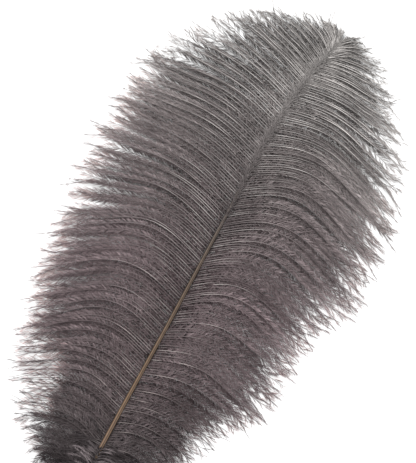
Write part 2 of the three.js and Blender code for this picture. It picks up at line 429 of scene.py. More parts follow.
def grow(root, way, length, leaves, turns, bends, falls_from, lies_at, top):
    """Points of plumes that turn from their first heading, bulge by top, and come down."""
    x, y, z = root
    points = []
    for share in np.linspace(0, 1, BARB_POINTS):
        fallen = mix(z, lies_at, smooth(share, falls_from, 1))
        points.append(np.stack([x, y, fallen + top * math.sin(math.pi * share)], -1))
        heading = np.radians(leaves + turns * share**bends)
        x = x + way * length / BARB_POINTS * np.sin(heading)
        y = y + length / BARB_POINTS * np.cos(heading)
    return np.stack(points, 1)


def loose_barbs(points, **values):
    """Barbs outside the two vanes, in the same form as make_barbs gives."""
    count = len(points)
    return {
        "points": points,
        **{key: np.broadcast_to(value, count) for key, value in values.items()},
        "first": np.zeros(count, bool),
        "speckle": LOOSE_SPECKLE,
        "between": 1.0,
        "way": 0,
    }


def down_value(key, curl):
    """A random value for each plume, from the range for its kind."""
    for_kind = [rng.uniform(*limits, DOWN_PLUMES) for limits in DOWN_RANGES[key]]
    return np.where(curl, *for_kind)


def make_down():
    """Dark curly plumes over the foot of the vane."""
    curl = np.arange(DOWN_PLUMES) < DOWN_CURLS
    way = np.where(np.arange(DOWN_PLUMES) % 2 == 0, -1.0, 1.0)
    root_y = down_value("root_y", curl)
    length = down_value("length", curl)
    leaves = down_value("leaves", curl)
    ends = down_value("ends", curl) + leaves * ~curl
    top = down_value("top", curl)
    x, z = shaft_at(root_y)
    off_middle = np.where(curl, rng.uniform(*CURLS_ACROSS, DOWN_PLUMES), BESIDE_SHAFT)
    x = x + way * off_middle * table(SHAFT_RADIUS, root_y)
    root = x, root_y, z + np.where(curl, *DOWN_LIFTS)
    points = grow(
        root, way, length, leaves, ends - leaves, DOWN_BENDS, DOWN_FALLS_FROM, DOWN_LIES_AT, top
    )
    return loose_barbs(
        points,
        root_y=DOWN_SHADE_AT,
        under=~curl & (rng.random(DOWN_PLUMES) < DOWN_UNDER),
        tone=down_value("tone", curl),
        lit=np.where(curl, 1.0, rng.uniform(0.1, 1.0, DOWN_PLUMES) ** 2),
        bare=np.where(curl, 0.04, 0.15),
        thins=0.8,
        haze=0.2,
        spread=np.where(curl, 0.5, 0.85),
    )


# -------------------- the fan of barbs at the tip
TIP_BARBS = 46
TIP_ROOTS = (305, 316.8)
TIP_REACHES = (323.0, 326.5)
TIP_HEADINGS = (-60, 60)
TIP_ROUND = 0.8  # 1 would end the fan in a straight line, 0 in an arc
TIP_BEND = (0.25, 0.15)  # barbs bend on by this share of their heading, with this spread
TIP_LIES_AT = 2.2
TIP_BULGE = 1.0


def make_tip():
    """The fan of short barbs that closes the tip."""
    root_y = rng.uniform(*TIP_ROOTS, TIP_BARBS)
    leaves = rng.uniform(*TIP_HEADINGS, TIP_BARBS)
    reach = rng.uniform(*TIP_REACHES, TIP_BARBS) - root_y
    length = reach / np.cos(np.radians(leaves)) ** TIP_ROUND
    bend = rng.normal(*TIP_BEND, TIP_BARBS) * leaves
    x, z = shaft_at(root_y)
    root = x, root_y, z + ROOT_LIFT
    return loose_barbs(
        grow(root, 1, length, leaves, bend, 1, 0, TIP_LIES_AT, TIP_BULGE),
        root_y=root_y,
        under=rng.random(TIP_BARBS) < 0.2,
        tone=rng.uniform(0.75, 1.1, TIP_BARBS),
        lit=rng.uniform(0.3, 0.9, TIP_BARBS),
        bare=0.3,
        thins=0.6,
        haze=0.6,
        spread=1.0,
    )


# -------------------- meshes from arrays
LOWEST = 0.06  # nothing comes closer to the table than this
BAKE_START, BAKE_SPAN, BAKE_HALF = 0.01, 0.98, 0.42  # along and across a band of the bake map
ATTRIBUTES = ("up_vane", "tone", "stem", "haze")
BLADE_FACES = ([0, 1, 2], [2, 1, 3])  # of a blade's root, its two knees and its tip


class Strands:
    """Vertices, faces and attributes of one piece, gathered before it becomes a mesh."""

    def __init__(self):
        self.verts, self.faces, self.values, self.uvs = [], [], [], []
        self.count = 0

    def add(self, verts, faces, values, uvs):
        verts[..., 2] = np.maximum(verts[..., 2], LOWEST)
        self.verts.append(verts.reshape(-1, 3))
        self.faces.append(faces + self.count)
        self.values.append(values.reshape(-1, len(ATTRIBUTES)))
        self.uvs.append(uvs.reshape(-1, 2))
        self.count += len(self.verts[-1])

    def add_blades(self, root, knee, width, tip, root_y, shade, stem, haze, uvs):
        """Blades from root to tip, bent at the knee and widest there."""
        full = np.zeros((len(root), 4))
        up_vane = column(root_y / SHAFT_LENGTH) + full
        values = np.stack([up_vane, shade, stem + full, haze + full], -1)
        base = column(np.arange(len(root))) * 4
        faces = np.concatenate([base + face for face in BLADE_FACES])
        self.add(np.stack([root, knee + width, knee - width, tip], 1), faces, values, uvs)


def band_faces(a, b, c, d):
    """Two triangles for each cell between the corners a, b of one row and c, d of the next."""
    return [np.stack([a, c, b], -1).reshape(-1, 3), np.stack([b, c, d], -1).reshape(-1, 3)]


def bake_place(along, row, rows, across):
    """Each barb has a band of its own on the bake map, and colours change slowly along it."""
    return np.stack([BAKE_START + BAKE_SPAN * along, (row + 0.5 + BAKE_HALF * across) / rows], -1)


def new_object(name, data):
    thing = bpy.data.objects.new(name, data)
    bpy.context.scene.collection.objects.link(thing)
    return thing


def add_mesh(name, strands, material):
    """A piece of the object from gathered triangles, in metres and in the row frame."""
    verts = np.concatenate(strands.verts)
    faces = np.concatenate(strands.faces)
    values = np.concatenate(strands.values)
    uvs = np.concatenate(strands.uvs)
    mesh = bpy.data.meshes.new(name)
    mesh.vertices.add(len(verts))
    mesh.vertices.foreach_set("co", ((verts - BOX_MIDDLE) * MM).astype(np.float32).ravel())
    mesh.loops.add(faces.size)
    mesh.loops.foreach_set("vertex_index", faces.astype(np.int32).ravel())
    mesh.polygons.add(len(faces))
    mesh.polygons.foreach_set("loop_start", np.arange(0, faces.size, 3, dtype=np.int32))
    mesh.update(calc_edges=True)
    for i, key in enumerate(ATTRIBUTES):
        attribute = mesh.attributes.new(key, "FLOAT", "POINT")
        attribute.data.foreach_set("value", values[:, i].astype(np.float32))
    layer = mesh.uv_layers.new(name="OFBake")
    layer.data.foreach_set("uv", uvs[faces.ravel()].astype(np.float32).ravel())
    mesh.validate()
    mesh.materials.append(material)
    piece = new_object(name, mesh)
    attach(piece, "root")
    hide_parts("feather")


# -------------------- the barbs' stems
RAMUS_RADIUS = [(0, 0.27), (0.4, 0.22), (0.8, 0.15), (1, 0.12)]
RAMUS_CORNERS = (90, 210, 330)
OWN_TONE = (0.08, 0.35)  # a barb takes on its own tone between these shares of its length
# Painted shade on the barbs near the shaft, where their roots lie in its shadow:
ROOT_PAINTED_SHADE = [(0, 0.48), (1.5, 0.68), (4, 0.82), (9, 0.91), (18, 1.0)]  # by distance from the shaft
ROOT_PAINTED_SHADE_ALONG = [(70, 0.25), (150, 1.0), (200, 1.0), (250, 0.45)]  # how much of that, along the shaft
RIDGE_SHOWN = 0.2  # the first stem of a tress on the right, its lit ridge, keeps its paler colour and painted highlight at least over this share
STEM_COVERED = 0.85  # beyond the part that looks bare this much of a stem's paler colour and painted highlight fades,
COVERED_OVER = (0.8, 2.4)  # between these multiples of that part
STEM_PAINTED_HIGHLIGHT = 0.55  # a stem's painted highlight grows and fades along its length by this share,
SHINE_WAVES = (1.5, 5)  # this many times
RAMUS_ON_BAND = np.array([0, -0.12, 0.12])


def add_rami(strands, barbs):
    """The barbs' own stems, three-sided and tapering."""
    points = barbs["points"]
    count, steps = points.shape[:2]
    along = np.linspace(0, 1, steps)
    sideways, upward = square_to(tangents(points))
    radius = table(RAMUS_RADIUS, along)[None, :, None]
    corners = []
    for angle in RAMUS_CORNERS:
        a = math.radians(angle)
        corners.append(points + radius * (math.cos(a) * sideways + math.sin(a) * upward))
    verts = np.stack(corners, 2)
    ids = np.arange(count * steps * 3).reshape(count, steps, 3)
    faces = []
    for k in range(3):
        n = (k + 1) % 3
        faces += band_faces(ids[:, :-1, k], ids[:, :-1, n], ids[:, 1:, k], ids[:, 1:, n])

    tone = mix(1, column(barbs["tone"]), smooth(along[None, :], *OWN_TONE))
    # Painted shade on the stems near the shaft.
    shade = table(ROOT_PAINTED_SHADE, along[None, :] * column(lengths_of(points)))
    tone = tone * mix(1, shade, column(table(ROOT_PAINTED_SHADE_ALONG, barbs["root_y"])))
    on_ridge = barbs["first"] * (barbs["way"] > 0)
    shown = np.maximum(barbs["bare"], RIDGE_SHOWN * on_ridge)
    stem = 1 - STEM_COVERED * smooth(along[None, :] / column(shown), *COVERED_OVER)
    # Painted highlight that grows and fades along each stem.
    phase = column(rng.random(count))
    waves = column(rng.uniform(*SHINE_WAVES, count))
    shine = 1 + STEM_PAINTED_HIGHLIGHT * np.sin(2 * math.pi * (along[None, :] * waves + phase))
    stem = column(barbs["lit"]) * stem * shine
    up_vane = column(barbs["root_y"]) / SHAFT_LENGTH * np.ones((1, steps))
    values = np.stack([up_vane, tone, stem, np.zeros_like(tone)], -1)
    values = np.repeat(values[:, :, None], 3, 2)

    full = np.zeros((count, steps, 3))
    row = np.arange(count)[:, None, None] + full
    uvs = bake_place(along[None, :, None] + full, row, count, RAMUS_ON_BAND + full)
    strands.add(verts, np.concatenate(faces), values, uvs)


# -------------------- clumps of barbules
CLUMP_PITCH = 0.95  # barbules cling together in clumps, this far apart along a barb,
CLUMP_SHIFT = 0.35  # and off their even places by up to this share of the pitch
DENSER_OUTWARD = 0.25
THINNEST = 0.36  # share of the barbules left at the very ends of the barbs
SPARSE_TIP = (0.04, 0.1)  # share lost near the feather's tip, and more of the under barbs' ones
SPARSE_Y = (245, 275)
# Places where the vane lets light through: centre, half width and half length, and share lost.
OPEN_PLACES = [
    (-52, 77, 20, 28, 0.77),
    (-41, 67, 11, 9, 0.85),
    (50, 84, 16, 24, 0.66),
]
OPEN_EDGE = (0.6, 1.15)
# Length, along a barb.
BARBULE_LENGTH = [(0, 1.3), (0.08, 2.0), (0.3, 3.6), (0.6, 4.6), (0.8, 4.8), (0.9, 4.0), (1, 1.9)]
LENGTH_RANGE = (0.8, 1.2)
UNDER_LONGER = (1.35, 0.8)  # under barbs have longer barbules low on the vane, shorter at the tip
UNDER_SHORTENS_Y = (265, 300)
SHORT_BARB = (12, 65)  # between these lengths of a barb its barbules grow to the full length
SHORT_BARB_HAS = 0.5  # from this share of it, but only high on the vane
SHORT_BARB_Y = (150, 260)
# Angle from the barb, along a barb.
BARBULE_ANGLE = [(0, 56), (0.25, 50), (0.5, 42), (0.7, 29), (0.85, 15), (1, 8)]
NARROWER = [(190, 1.0), (260, 0.55)]  # share of that angle left, along the shaft
UNDER_ANGLE = 52
UNDER_NARROWS = 0.6
SPLAYED_SHARE = 0.12  # of the clumps, which stand off more
ANGLE_BY_BARB = 2.5
ANGLE_BY_CLUMP = (3, 9)  # spread at the root, and how much more at the end
# At the ends the barbules cling to the barb or stand off as a pale haze of longer, finer ones.
OUTER = (0.76, 0.93)
STAND_OFF = (0.45, 0.85)  # this share of the clumps clings, and up to this one only in part
CLING_ANGLE, HAZE_ANGLE = 3, 34
HAZE_LENGTH = 1.35
HAZE_WIDTH = 0.6
# These run with the place along a barb over the share of it that looks bare, its barbules hanging.
BARBULE_DROOP = [(0, -65), (1, -50), (1.8, -30), (3.5, -14)]
# Painted shade on the barbules that hang below the stems in the bare part:
BARBULE_PAINTED_SHADE = [(0, 0.34), (1, 0.46), (1.8, 0.9), (3, 1.05)]
BARBULE_PAINTED_SHADE_LEAST = 0.6  # at least this much, also where the roots aren't shaded
UNDER_DROOP = -4
DROOP_SPREAD = 3
TILT_SPREAD = 0.35
# The barbules towards the quill lie under the next barb, or hang in the dark beside a tress.
TUCKED_DROOP = -30
TUCKED_OVER = (0, 0.3)
HANGING_DROOP, HANGING_SPLAY = -42, 1.3
HANGING_ENDS = (0.65, 0.85)
FINE_SPECKLE = 0.12  # spread of the tone from clump to clump high on the vane
FINE_Y = (190, 240)
PALER_TIP = [(190, 1.0), (235, 1.12), (275, 1.38)]  # tone, along the shaft
UNDER_PALER = 0.7  # at their ends the under barbs' barbules lose this much of their barb's tone, its painted shade with it
# Some clumps of each barb hang below it, level and darkened by painted shade: their share, and how they
# differ.
LOW_SHARE = [(0, 0.45), (0.15, 0.28), (0.3, 0.12), (0.6, 0.03), (1, 0.02)]
LOW_DROP, LOW_DROOP, LOW_LENGTH = 1.1, -10, 3.4
LOW_DROPPED = (0, 0.1)
LOW_DROOP_SPREAD = 8
LOW_PAINTED_SHADE = (0.95, 0.52)  # painted shade where the roots aren't shaded, and where they are


def openness(place):
    """Share of the barbules lost at each place to the places that let light through."""
    lost = np.zeros(len(place))
    for x, y, half_x, half_y, most in OPEN_PLACES:
        apart = np.hypot((place[:, 0] - x) / half_x, (place[:, 1] - y) / half_y)
        lost = np.maximum(lost, most * (1 - smooth(apart, *OPEN_EDGE)))
    return lost


def fullness(lost, root_y, along, under, thins):
    """Share of the barbules that grow at a place on a barb."""
    full = 1 - (1 - THINNEST) * smooth((along - thins) / (1 - thins), 0, 1)
    full = full * (1 - (SPARSE_TIP[0] + SPARSE_TIP[1] * under) * smooth(root_y, *SPARSE_Y))
    return full * (1 - lost)


def clump_places(barbs, lengths):
    """The clumps that grow: their barb, which side of it, the share along it, and the light lost."""
    points = barbs["points"]
    steps = points.shape[1]
    clumps = (lengths / CLUMP_PITCH).astype(int) + 1
    barb = np.repeat(np.arange(len(points)), 2 * clumps)
    order = np.arange(len(barb)) - np.repeat(np.cumsum(2 * clumps) - 2 * clumps, 2 * clumps)
    hand = np.where(order % 2 == 0, 1.0, -1.0)
    shift = rng.uniform(-CLUMP_SHIFT, CLUMP_SHIFT, len(barb))
    middle = (order // 2 + 0.5 + shift) / clumps[barb]
    middle = mix(middle, 1 - (1 - middle) ** 2, DENSER_OUTWARD)
    lost = openness(points[barb, np.clip((middle * (steps - 1)).astype(int), 0, steps - 1)])
    full = fullness(lost, barbs["root_y"][barb], middle, barbs["under"][barb], barbs["thins"][barb])
    keep = rng.random(len(barb)) < full
    return barb[keep], hand[keep], middle[keep], lost[keep]


def make_clumps(barbs, lengths):
    """What each clump of barbules has: its place, its length, its angles, its tone and its haze."""
    barb, hand, middle, lost = clump_places(barbs, lengths)
    count, total = len(lengths), len(barb)
    under, root_y = barbs["under"][barb], barbs["root_y"][barb]
    painted_shade_share = table(ROOT_PAINTED_SHADE_ALONG, root_y)

    longer = np.where(under, mix(*UNDER_LONGER, smooth(root_y, *UNDER_SHORTENS_Y)), 1)
    length = table(BARBULE_LENGTH, middle) * rng.uniform(*LENGTH_RANGE, total) * longer
    length = length * barbs["spread"][barb]
    on_short = mix(SHORT_BARB_HAS, 1, smooth(lengths[barb], *SHORT_BARB))
    length = length * mix(1, on_short, smooth(root_y, *SHORT_BARB_Y))

    angle = table(BARBULE_ANGLE, middle) * table(NARROWER, root_y)
    angle = np.where(under, UNDER_ANGLE * (1 - UNDER_NARROWS * middle), angle)
    angle = angle * np.where(rng.random(total) < SPLAYED_SHARE, 1 + middle**2, 1)
    angle = angle * barbs["spread"][barb]
    by_clump = ANGLE_BY_CLUMP[0] + ANGLE_BY_CLUMP[1] * middle**3
    angle = angle + rng.normal(0, ANGLE_BY_BARB, count)[barb] + rng.normal(0, 1, total) * by_clump
    outer = np.maximum(smooth(middle, *OUTER), lost)
    stands_off = np.where(under, 1, smooth(rng.random(total), *STAND_OFF)) * barbs["haze"][barb]
    angle = mix(angle, mix(CLING_ANGLE, HAZE_ANGLE, stands_off), outer * ~under)
    length = length * mix(1, mix(1, HAZE_LENGTH, stands_off), outer)

    hung = middle / barbs["bare"][barb]
    droop = np.where(under, UNDER_DROOP, table(BARBULE_DROOP, hung))
    quillward = (hand == barbs["way"]) & ~under
    hanging = quillward & barbs["first"][barb]
    tucked = quillward & ~hanging
    tucked_droop = np.minimum(droop, TUCKED_DROOP * smooth(middle, *TUCKED_OVER))
    droop = np.where(tucked, tucked_droop, droop)
    fades = 1 - smooth(middle, *HANGING_ENDS)
    droop = np.where(hanging, mix(droop, HANGING_DROOP, fades), droop)
    angle = np.where(hanging, angle * mix(1, HANGING_SPLAY, fades), angle)
    droop = droop + rng.normal(0, DROOP_SPREAD, count)[barb] + rng.normal(0, DROOP_SPREAD, total)
    tilt = rng.normal(0, TILT_SPREAD, total)

    tone = mix(1, barbs["tone"][barb], smooth(middle, *OWN_TONE))
    speckle = mix(barbs["speckle"], FINE_SPECKLE, smooth(root_y, *FINE_Y))
    tone = mix(tone, 1, UNDER_PALER * outer * under) * (1 + rng.normal(0, 1, total) * speckle)
    # Painted shade on the barbules near the shaft.
    tone = tone * mix(1, table(ROOT_PAINTED_SHADE, middle * lengths[barb]), painted_shade_share)
    below = rng.random(total) < table(LOW_SHARE, middle)
    length = np.where(below, LOW_LENGTH * rng.uniform(*LENGTH_RANGE, total), length)
    droop = np.where(below, LOW_DROOP + rng.normal(0, LOW_DROOP_SPREAD, total), droop)
    # Painted shade on the hanging barbules, and on the low clumps.
    hung_painted_shade = mix(1, table(BARBULE_PAINTED_SHADE, hung), mix(BARBULE_PAINTED_SHADE_LEAST, 1, painted_shade_share))
    tone = tone * np.where(below, mix(*LOW_PAINTED_SHADE, painted_shade_share), hung_painted_shade)
    # Painted shade on the barbules that hang dark between two tresses.
    tone = tone * np.where(hanging, mix(1, barbs["between"], fades), 1)
    tone = tone * table(PALER_TIP, root_y)
    haze = stands_off * outer * ~below
    return barb, hand, middle, under, below, length, angle, droop, tilt, tone, haze


# -------------------- the barbules
BLADES = 5  # in one clump
BLADE_WIDTH = 0.22
BLADE_WIDTH_RANGE = (0.8, 1.2)
SLIMMER = (1.0, 0.5)  # share of that width on the inner and on the outer part of a barb,
SLIMS_OVER = (0.4, 0.9)  # between these shares of its length
# Clumps come loose on the middle stretch of a barb: where, and the width of held, loose and end
# ones along the barb.
COMES_LOOSE, HOLDS_AGAIN = (0.35, 0.6), (0.7, 0.85)
HELD_CLUMP, LOOSE_CLUMP, END_CLUMP = 0.55, 0.75, 0.6
END_CLUMPS = (0.75, 0.9)
UNDER_WIDER = (2.2, 1.1)  # clumps of under barbs and low clumps are wider, at the root and beyond
UNDER_NARROWED = (0.1, 0.6)
ON_BARB = (0.004, 0.996)
BLADE_LENGTH_RANGE = (0.85, 1.1)
BLADE_ANGLE_SPREAD = (1.5, 3)  # in a held and in a loose clump
BLADE_DROOP_SPREAD = 3
BEND_RANGE = (0.45, 0.85)  # share of its angle that a blade keeps beyond its knee
BLADE_PAINTED_SHADE_STEP = (0.16, 0.07)  # painted shade and light, from one blade to the next in a held and in a loose clump
BLADE_TONE_SPREAD = 0.2
# At a blade's root, its two knees and its tip: the tone, with painted shade at the root, under its
# neighbours, and painted light at the tip; and the place on the bake map.
BLADE_PAINTED_SHADE = np.array([[0.72, 0.98, 0.98, 1.25]])
BLADE_ALONG_BAND = np.array([[0, 0.012, 0.004, 0.016]])
BLADE_ACROSS_BAND = np.array([[0.12, 0.5, 0.55, 0.98]])


def add_barbules(strands, barbs):
    """Clumps of soft blades on both sides of the barbs, each bent once towards the barb's tip."""
    points = barbs["points"]
    steps = points.shape[1]
    forward = tangents(points)
    lengths = lengths_of(points)
    barb, hand, middle, under, below, length, angle, droop, tilt, tone, haze = (
        np.repeat(values, BLADES) for values in make_clumps(barbs, lengths)
    )
    total = len(barb)
    blade = np.tile(np.arange(BLADES) - (BLADES - 1) / 2, total // BLADES)
    loose = smooth(middle, *COMES_LOOSE) * (1 - smooth(middle, *HOLDS_AGAIN))

    wide = np.where(under | below, mix(*UNDER_WIDER, smooth(middle, *UNDER_NARROWED)), 1.0)
    clump = mix(mix(HELD_CLUMP, LOOSE_CLUMP, loose), END_CLUMP, smooth(middle, *END_CLUMPS))
    along = np.clip(middle + wide * blade * (clump / BLADES) / lengths[barb], *ON_BARB)
    at = along * (steps - 1)
    low = np.minimum(at.astype(int), steps - 2)
    part = column(at - low)
    root = mix(points[barb, low], points[barb, low + 1], part)
    root[:, 2] -= LOW_DROP * below * smooth(along, *LOW_DROPPED)
    ahead = unit(mix(forward[barb, low], forward[barb, low + 1], part))
    sideways = unit(np.cross(ahead, [0, 0, 1.0])) * column(hand)
    upward = unit(np.cross(ahead, sideways))
    upward = upward * np.sign(upward[:, 2:3] + 1e-9)

    length = length * rng.uniform(*BLADE_LENGTH_RANGE, total)
    angle = np.radians(angle + blade + rng.normal(0, 1, total) * mix(*BLADE_ANGLE_SPREAD, loose))
    droop = np.radians(droop + rng.normal(0, BLADE_DROOP_SPREAD, total))
    outward = column(np.cos(droop)) * sideways + column(np.sin(droop)) * upward
    first = column(np.cos(angle)) * ahead + column(np.sin(angle)) * outward
    bent = angle * rng.uniform(*BEND_RANGE, total)
    second = column(np.cos(bent)) * ahead + column(np.sin(bent)) * outward
    knee = root + first * column(length * 0.5)
    tip = knee + second * column(length * 0.5)
    flat = unit(np.cross(first, upward))
    width = column(np.cos(tilt)) * flat + column(np.sin(tilt)) * np.cross(flat, first)
    slim = mix(*SLIMMER, smooth(along, *SLIMS_OVER)) * mix(1, HAZE_WIDTH, haze)
    half = wide * slim * BLADE_WIDTH / 2 * rng.uniform(*BLADE_WIDTH_RANGE, total)
    width = width * column(half)

    # Painted shade and light from blade to blade across a clump.
    tone = tone * (1 + mix(*BLADE_PAINTED_SHADE_STEP, loose) * blade)
    tone = tone * (1 + rng.normal(0, BLADE_TONE_SPREAD, total))
    # Painted shade at the blades' roots and painted light at their tips.
    shade = column(tone) * BLADE_PAINTED_SHADE
    on_band = np.clip(column(along) + BLADE_ALONG_BAND, 0, 1)
    uvs = bake_place(on_band, column(barb), len(points), column(hand) * BLADE_ACROSS_BAND)
    root_y = barbs["root_y"][barb]
    strands.add_blades(root, knee, width, tip, root_y, shade, 0, column(haze), uvs)


# -------------------- the fuzz over the upper shaft
FUZZ_HAIRS = 6500
FUZZ_FROM, FUZZ_FULL = 192.0, 250.0
FUZZ_REACH = [(192, 0.9), (215, 1.3), (250, 2.1), (300, 2.9), (317, 1.8)]
FUZZ_REACH_SPREAD, FUZZ_REACH_MOST = 0.6, 2.2
FUZZ_TONE = [(192, 0.55), (235, 0.58), (255, 0.66), (275, 0.78), (295, 0.85), (317, 0.9)]
FUZZ_TONE_SPREAD = 0.25
FUZZ_STEM = 0.12
FUZZ_ROLL = 1.3  # hairs grow around the top of the shaft up to this angle, in radians,
FUZZ_INSIDE = 0.9  # from just under its surface
FUZZ_RISE = (0.1, 1.3)
FUZZ_FALL = 0.35  # longer hairs fall again by this share of their reach
FUZZ_AHEAD = (0.6, 2.4)
FUZZ_KNEE = (0.12, -0.2, 0.3, 0.4)  # off halfway by these shares of reach, ahead, rise, and this
FUZZ_WIDTH = (0.07, 0.16)
# At a hair's root, its two knees and its tip: painted shade at the root and painted light at the tip.
FUZZ_PAINTED_SHADE = np.array([[0.7, 0.95, 0.95, 1.15]])
FUZZ_BANDS, FUZZ_SPAN = 40, 0.98  # on the bake map the hairs share bands of this length
FUZZ_ALONG_BAND = np.array([[0, 0.002, 0.002, 0.004]])
FUZZ_ACROSS_BAND = np.array([[-0.8, -0.1, 0.1, 0.8]])


def add_fuzz(strands):
    """Short soft hairs that hide the shaft towards its tip."""
    y = rng.uniform(FUZZ_FROM, SHAFT_LENGTH, FUZZ_HAIRS)
    y = y[rng.random(FUZZ_HAIRS) < smooth(y, FUZZ_FROM, FUZZ_FULL)]
    total = len(y)
    x, z = shaft_at(y)
    radius = table(SHAFT_RADIUS, y)
    roll = rng.uniform(-FUZZ_ROLL, FUZZ_ROLL, total)
    root = np.stack([x + radius * np.sin(roll), y, z + radius * np.cos(roll) * FUZZ_INSIDE], -1)
    sideways = rng.laplace(0, FUZZ_REACH_SPREAD, total)
    reach = table(FUZZ_REACH, y) * np.clip(sideways, -FUZZ_REACH_MOST, FUZZ_REACH_MOST)
    rise = rng.uniform(*FUZZ_RISE, total)
    ahead = rng.uniform(*FUZZ_AHEAD, total)
    tip = root + np.stack([reach, ahead, rise - FUZZ_FALL * np.abs(reach)], -1)
    by_reach, by_ahead, by_rise, up = FUZZ_KNEE
    knee = mix(root, tip, 0.5) + np.stack([by_reach * reach, by_ahead * ahead, by_rise * rise + up], -1)
    width = unit(np.cross(tip - root, [0, 0, 1.0])) * column(rng.uniform(*FUZZ_WIDTH, total))
    shade = column(table(FUZZ_TONE, y) * rng.normal(1, FUZZ_TONE_SPREAD, total)) * FUZZ_PAINTED_SHADE
    on_band = np.clip(column((y - FUZZ_FROM) / (SHAFT_LENGTH - FUZZ_FROM)), 0, 1)
    on_band = (on_band + FUZZ_ALONG_BAND) * FUZZ_SPAN
    row = column(np.arange(total) % FUZZ_BANDS)
    uvs = bake_place(on_band, row, FUZZ_BANDS, FUZZ_ACROSS_BAND)
    strands.add_blades(root, knee, width, tip, y, shade, FUZZ_STEM, 0, uvs)


# -------------------- the shaft
SHAFT_SIDES = 24
SHAFT_ROWS = 180
ROWS_CLOSER = 1.1  # rows stand closer together towards the quill's end
SHAFT_SKIN = [(110, 0), (160, 0.2), (200, 0.28), (260, 0.15), (317, 0)]  # rough skin, this thick
GROOVE_DEPTH = 0.3  # share of the radius, along the underside,
GROOVE_WIDTH = 0.45  # over this angle, in radians
GROOVE_Y = (30, 60)
# Tone by the place across the shaft, from its left (-1) to its right (1): painted shade on the dark
# edges, where the round shaft turns away from the light, a painted highlight on the light streak right
# of its middle, and fine streaks.
SHAFT_STREAKS_SHADE_AND_HIGHLIGHT = [
    (-1, 0.25), (-0.75, 0.35), (-0.5, 1.1), (-0.26, 1.3),
    (0, 0.5), (0.26, 0.3), (0.5, 1.5), (0.75, 0.5), (1, 0.2),
]
# Painted shade on the underside of the shaft, which turns away from the light:
UNDERSIDE_PAINTED_SHADE = 0.4
TURNS_UNDER = (-0.1, 0.5)
CAP_TONE = 0.5


def add_shaft(strands):
    """The shaft in one piece, from the quill's nib to the tip, closed at both ends."""
    y = np.linspace(0, 1, SHAFT_ROWS) ** ROWS_CLOSER * SHAFT_LENGTH
    x, z = shaft_at(y)
    line = np.stack([x, y, z], -1)
    sideways, upward = square_to(tangents(line))
    radius = table(SHAFT_RADIUS, y) + table(SHAFT_SKIN, y)
    angle = np.linspace(0, 2 * math.pi, SHAFT_SIDES, endpoint=False)
    underneath = np.exp(-(((angle[None, :] - 1.5 * math.pi) / GROOVE_WIDTH) ** 2))
    groove = 1 - GROOVE_DEPTH * underneath * smooth(y, *GROOVE_Y)[:, None]
    reach = (radius[:, None] * groove)[..., None]
    cosine, sine = np.cos(angle)[None, :, None], np.sin(angle)[None, :, None]
    verts = line[:, None] + reach * (cosine * sideways[:, None] + sine * upward[:, None])
    verts = np.concatenate([verts.reshape(-1, 3), line[:1], line[-1:]])

    ids = np.arange(SHAFT_ROWS * SHAFT_SIDES).reshape(SHAFT_ROWS, SHAFT_SIDES)
    beside = np.roll(ids, -1, axis=1)
    faces = band_faces(ids[:-1], beside[:-1], ids[1:], beside[1:])
    quill_end, tip_end = len(verts) - 2, len(verts) - 1
    faces.append(np.stack([np.full(SHAFT_SIDES, quill_end), ids[0], beside[0]], -1))
    faces.append(np.stack([np.full(SHAFT_SIDES, tip_end), beside[-1], ids[-1]], -1))

    along = np.concatenate([np.repeat(y / SHAFT_LENGTH, SHAFT_SIDES), [0, 1]])
    # Painted shade on the edges and a painted highlight beside the middle, by the place across the
    # shaft.
    tone = table(SHAFT_STREAKS_SHADE_AND_HIGHLIGHT, np.cos(angle))
    # Painted shade on the underside.
    tone = tone * mix(UNDERSIDE_PAINTED_SHADE, 1, smooth(np.sin(angle), *TURNS_UNDER))
    tone = np.concatenate([np.tile(tone, SHAFT_ROWS), [CAP_TONE, CAP_TONE]])
    values = np.stack([along, tone, np.ones_like(along), np.zeros_like(along)], -1)
    around = np.concatenate([np.tile(np.abs(np.cos(angle / 2)), SHAFT_ROWS), [0.5, 0.5]])
    uvs = np.stack([BAKE_START + BAKE_SPAN * along, 0.05 + 0.9 * around], -1)
    strands.add(verts, np.concatenate(faces), values, uvs)


# -------------------- materials
def node_tree(name):
    material = bpy.data.materials.new(name)
    material.use_nodes = True
    tree = material.node_tree
    return material, tree, tree.nodes["Principled BSDF"]


def ramp(tree, stops, source):
    node = tree.nodes.new("ShaderNodeValToRGB")
    while len(node.color_ramp.elements) < len(stops):
        node.color_ramp.elements.new(0.5)
    for element, (place, colour) in zip(node.color_ramp.elements, stops):
        element.position = place
        element.color = (*colour, 1)
    tree.links.new(source, node.inputs[0])
    return node.outputs["Color"]


def attribute(tree, name):
    node = tree.nodes.new("ShaderNodeAttribute")
    node.attribute_name = name
    return node.outputs["Fac"]


def scaled(tree, colour, value):
    node = tree.nodes.new("ShaderNodeVectorMath")
    node.operation = "SCALE"
    tree.links.new(colour, node.inputs[0])
    tree.links.new(value, node.inputs["Scale"])
    return node.outputs[0]


def mixed(tree, a, b, share):
    node = tree.nodes.new("ShaderNodeMix")
    node.data_type = "RGBA"
    tree.links.new(share, node.inputs["Factor"])
    tree.links.new(a, node.inputs[6])
    tree.links.new(b, node.inputs[7])
    return node.outputs[2]


def noise(tree, scale, low, high):
    """A value that wanders between low and high from place to place."""
    coordinates = tree.nodes.new("ShaderNodeTexCoord")
    pattern = tree.nodes.new("ShaderNodeTexNoise")
    pattern.inputs["Scale"].default_value = scale
    pattern.inputs["Detail"].default_value = 3
    tree.links.new(coordinates.outputs["Object"], pattern.inputs["Vector"])
    spread = tree.nodes.new("ShaderNodeMapRange")
    for end, value in {"From Min": 0.3, "From Max": 0.7, "To Min": low, "To Max": high}.items():
        spread.inputs[end].default_value = value
    tree.links.new(pattern.outputs["Fac"], spread.inputs["Value"])
    return spread.outputs["Result"]


